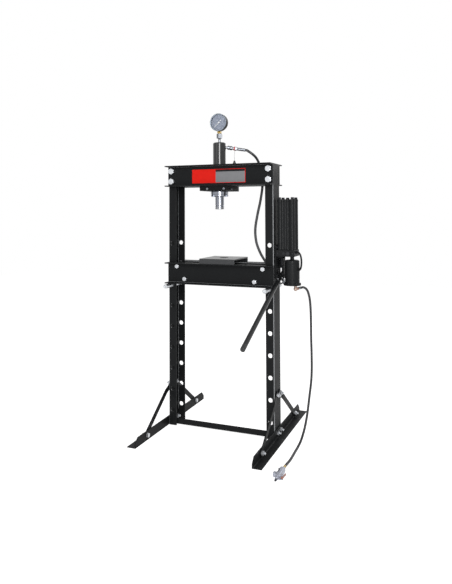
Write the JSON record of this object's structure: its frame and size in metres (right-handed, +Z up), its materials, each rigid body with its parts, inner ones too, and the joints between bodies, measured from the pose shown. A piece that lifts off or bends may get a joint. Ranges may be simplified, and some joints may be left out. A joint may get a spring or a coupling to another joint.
{
  "type": "hydraulic shop press",
  "caption": "H-frame workshop press with an air and hand operated hydraulic pump, a hanging ram unit with a pressure gauge, and a pinned bed that sets to several heights.",
  "frame": {"origin": "on the floor, below the middle of the press's box without the air hose", "axes": "+X towards the pump's side, +Y away from the operator, +Z up"},
  "size_m": [0.8853, 1.0806, 1.8006],
  "materials": {
    "black_paint": "semi-gloss black paint on rolled steel",
    "black_alloy": "black coating on alloy and steel housings",
    "zinc": "bright zinc plate",
    "chrome": "hard chrome, polished",
    "steel": "bare machined steel",
    "brass": "machined brass",
    "dial_print": "printed dial",
    "clear_lens": "clear window",
    "white_paint": "white paint on a thin pointer",
    "hose_rubber": "black rubber hose",
    "red_plastic": "red plastic"
  },
  "bodies": {
    "frame": {"air_elbow": "brass", "air_hose": "hose_rubber", "air_motor": "black_alloy", "air_valve": "zinc", "brace_left_front": "black_paint", "brace_left_rear": "black_paint", "brace_right_front": "black_paint", "brace_right_rear": "black_paint", "foot_bolt_left_front": "zinc", "foot_bolt_left_rear": "zinc", "foot_bolt_right_front": "zinc", "foot_bolt_right_rear": "zinc", "foot_left": "black_paint", "foot_right": "black_paint", "fulcrum_pin": "zinc", "gauge_case": "black_alloy", "gauge_dial": "dial_print", "gauge_lens": "clear_lens", "gauge_riser": "zinc", "gauge_stem": "brass", "head_beam_front": "black_paint", "head_beam_rear": "black_paint", "head_bolt_left_lower": "zinc", "head_bolt_left_upper": "zinc", "head_bolt_right_lower": "zinc", "head_bolt_right_upper": "zinc", "head_plate": "black_paint", "hose_coupler": "zinc", "manifold": "black_alloy", "oil_tank": "black_alloy", "pump_barrel": "black_alloy", "pump_bracket": "black_paint", "pump_outlet": "zinc", "ram_cylinder": "black_paint", "ram_hose": "hose_rubber", "ram_ring_nut": "chrome", "return_spring": "steel", "spreader": "black_paint", "tank_lid": "black_alloy", "transfer_pipe": "black_paint", "upright_left": "black_paint", "upright_right": "black_paint"},
    "ram": {"ram_rod": "chrome", "ram_saddle": "steel"},
    "bed": {"bed_beam_front": "black_paint", "bed_beam_rear": "black_paint", "bed_bolt_left_lower": "zinc", "bed_bolt_left_upper": "zinc", "bed_bolt_right_lower": "zinc", "bed_bolt_right_upper": "zinc"},
    "arbor": {"arbor_plate": "steel"},
    "pin_left": {"bed_pin_left": "zinc"},
    "pin_right": {"bed_pin_right": "zinc"},
    "handle": {"pump_lever": "black_paint", "handle_bar": "black_paint"},
    "plunger": {"pump_plunger": "chrome"},
    "release": {"release_knob": "zinc"},
    "needle": {"gauge_needle": "white_paint"},
    "cap": {"dust_cap": "red_plastic"},
    "valve_lever": {"air_valve_lever": "red_plastic"}
  },
  "joints": [
    {"name": "ram_slide", "type": "slide", "parent": "frame", "child": "ram", "axis": [0, 0, -1], "range_m": [0, 0.15], "stiffness_N_per_m": 600, "springref_m": -0.15, "deforming": ["return_spring"]},
    {"name": "bed_lift", "type": "slide", "parent": "frame", "child": "bed", "axis": [0, 0, 1], "range_m": [0, 0.12]},
    {"name": "arbor_plate_slide", "type": "slide", "parent": "bed", "child": "arbor", "axis": [1, 0, 0], "range_m": [-0.15, 0.15]},
    {"name": "pin_left_pull", "type": "slide", "parent": "frame", "child": "pin_left", "axis": [0, -1, 0], "range_m": [0, 0.185]},
    {"name": "pin_right_pull", "type": "slide", "parent": "frame", "child": "pin_right", "axis": [0, -1, 0], "range_m": [0, 0.185]},
    {"name": "handle_pump", "type": "hinge", "parent": "frame", "child": "handle", "pos_m": [0.29565, 0.09565, 0.884], "axis": [-1, 0, 0], "range_deg": [0, 60]},
    {"name": "plunger_slide", "type": "slide", "parent": "frame", "child": "plunger", "axis": [0, 0, -1], "range_m": [0, 0.032]},
    {"name": "release_turn", "type": "hinge", "parent": "frame", "child": "release", "pos_m": [0.35165, 0.04365, 1.006], "axis": [0, -1, 0], "range_deg": [0, 180]},
    {"name": "needle_turn", "type": "hinge", "parent": "frame", "child": "needle", "pos_m": [-0.06935, 0.09565, 1.7499], "axis": [0, 1, 0], "range_deg": [0, 270], "stiffness_Nm_per_rad": 0.002, "springref_deg": -28.65},
    {"name": "dust_cap_swing", "type": "hinge", "parent": "frame", "child": "cap", "pos_m": [0.00979, 0.1299, 1.59888], "axis": [0.9088, 0.3933, -0.1392], "range_deg": [-60, 60]},
    {"name": "valve_lever_press", "type": "hinge", "parent": "frame", "child": "valve_lever", "pos_m": [0.44065, -0.41135, 0.013], "axis": [0, 0, 1], "range_deg": [0, 12], "stiffness_Nm_per_rad": 0.05, "springref_deg": -11.46}
  ],
  "couplings": [
    {"joint": "plunger_slide", "follows": "handle_pump", "m_per_rad": 0.03}
  ]
}
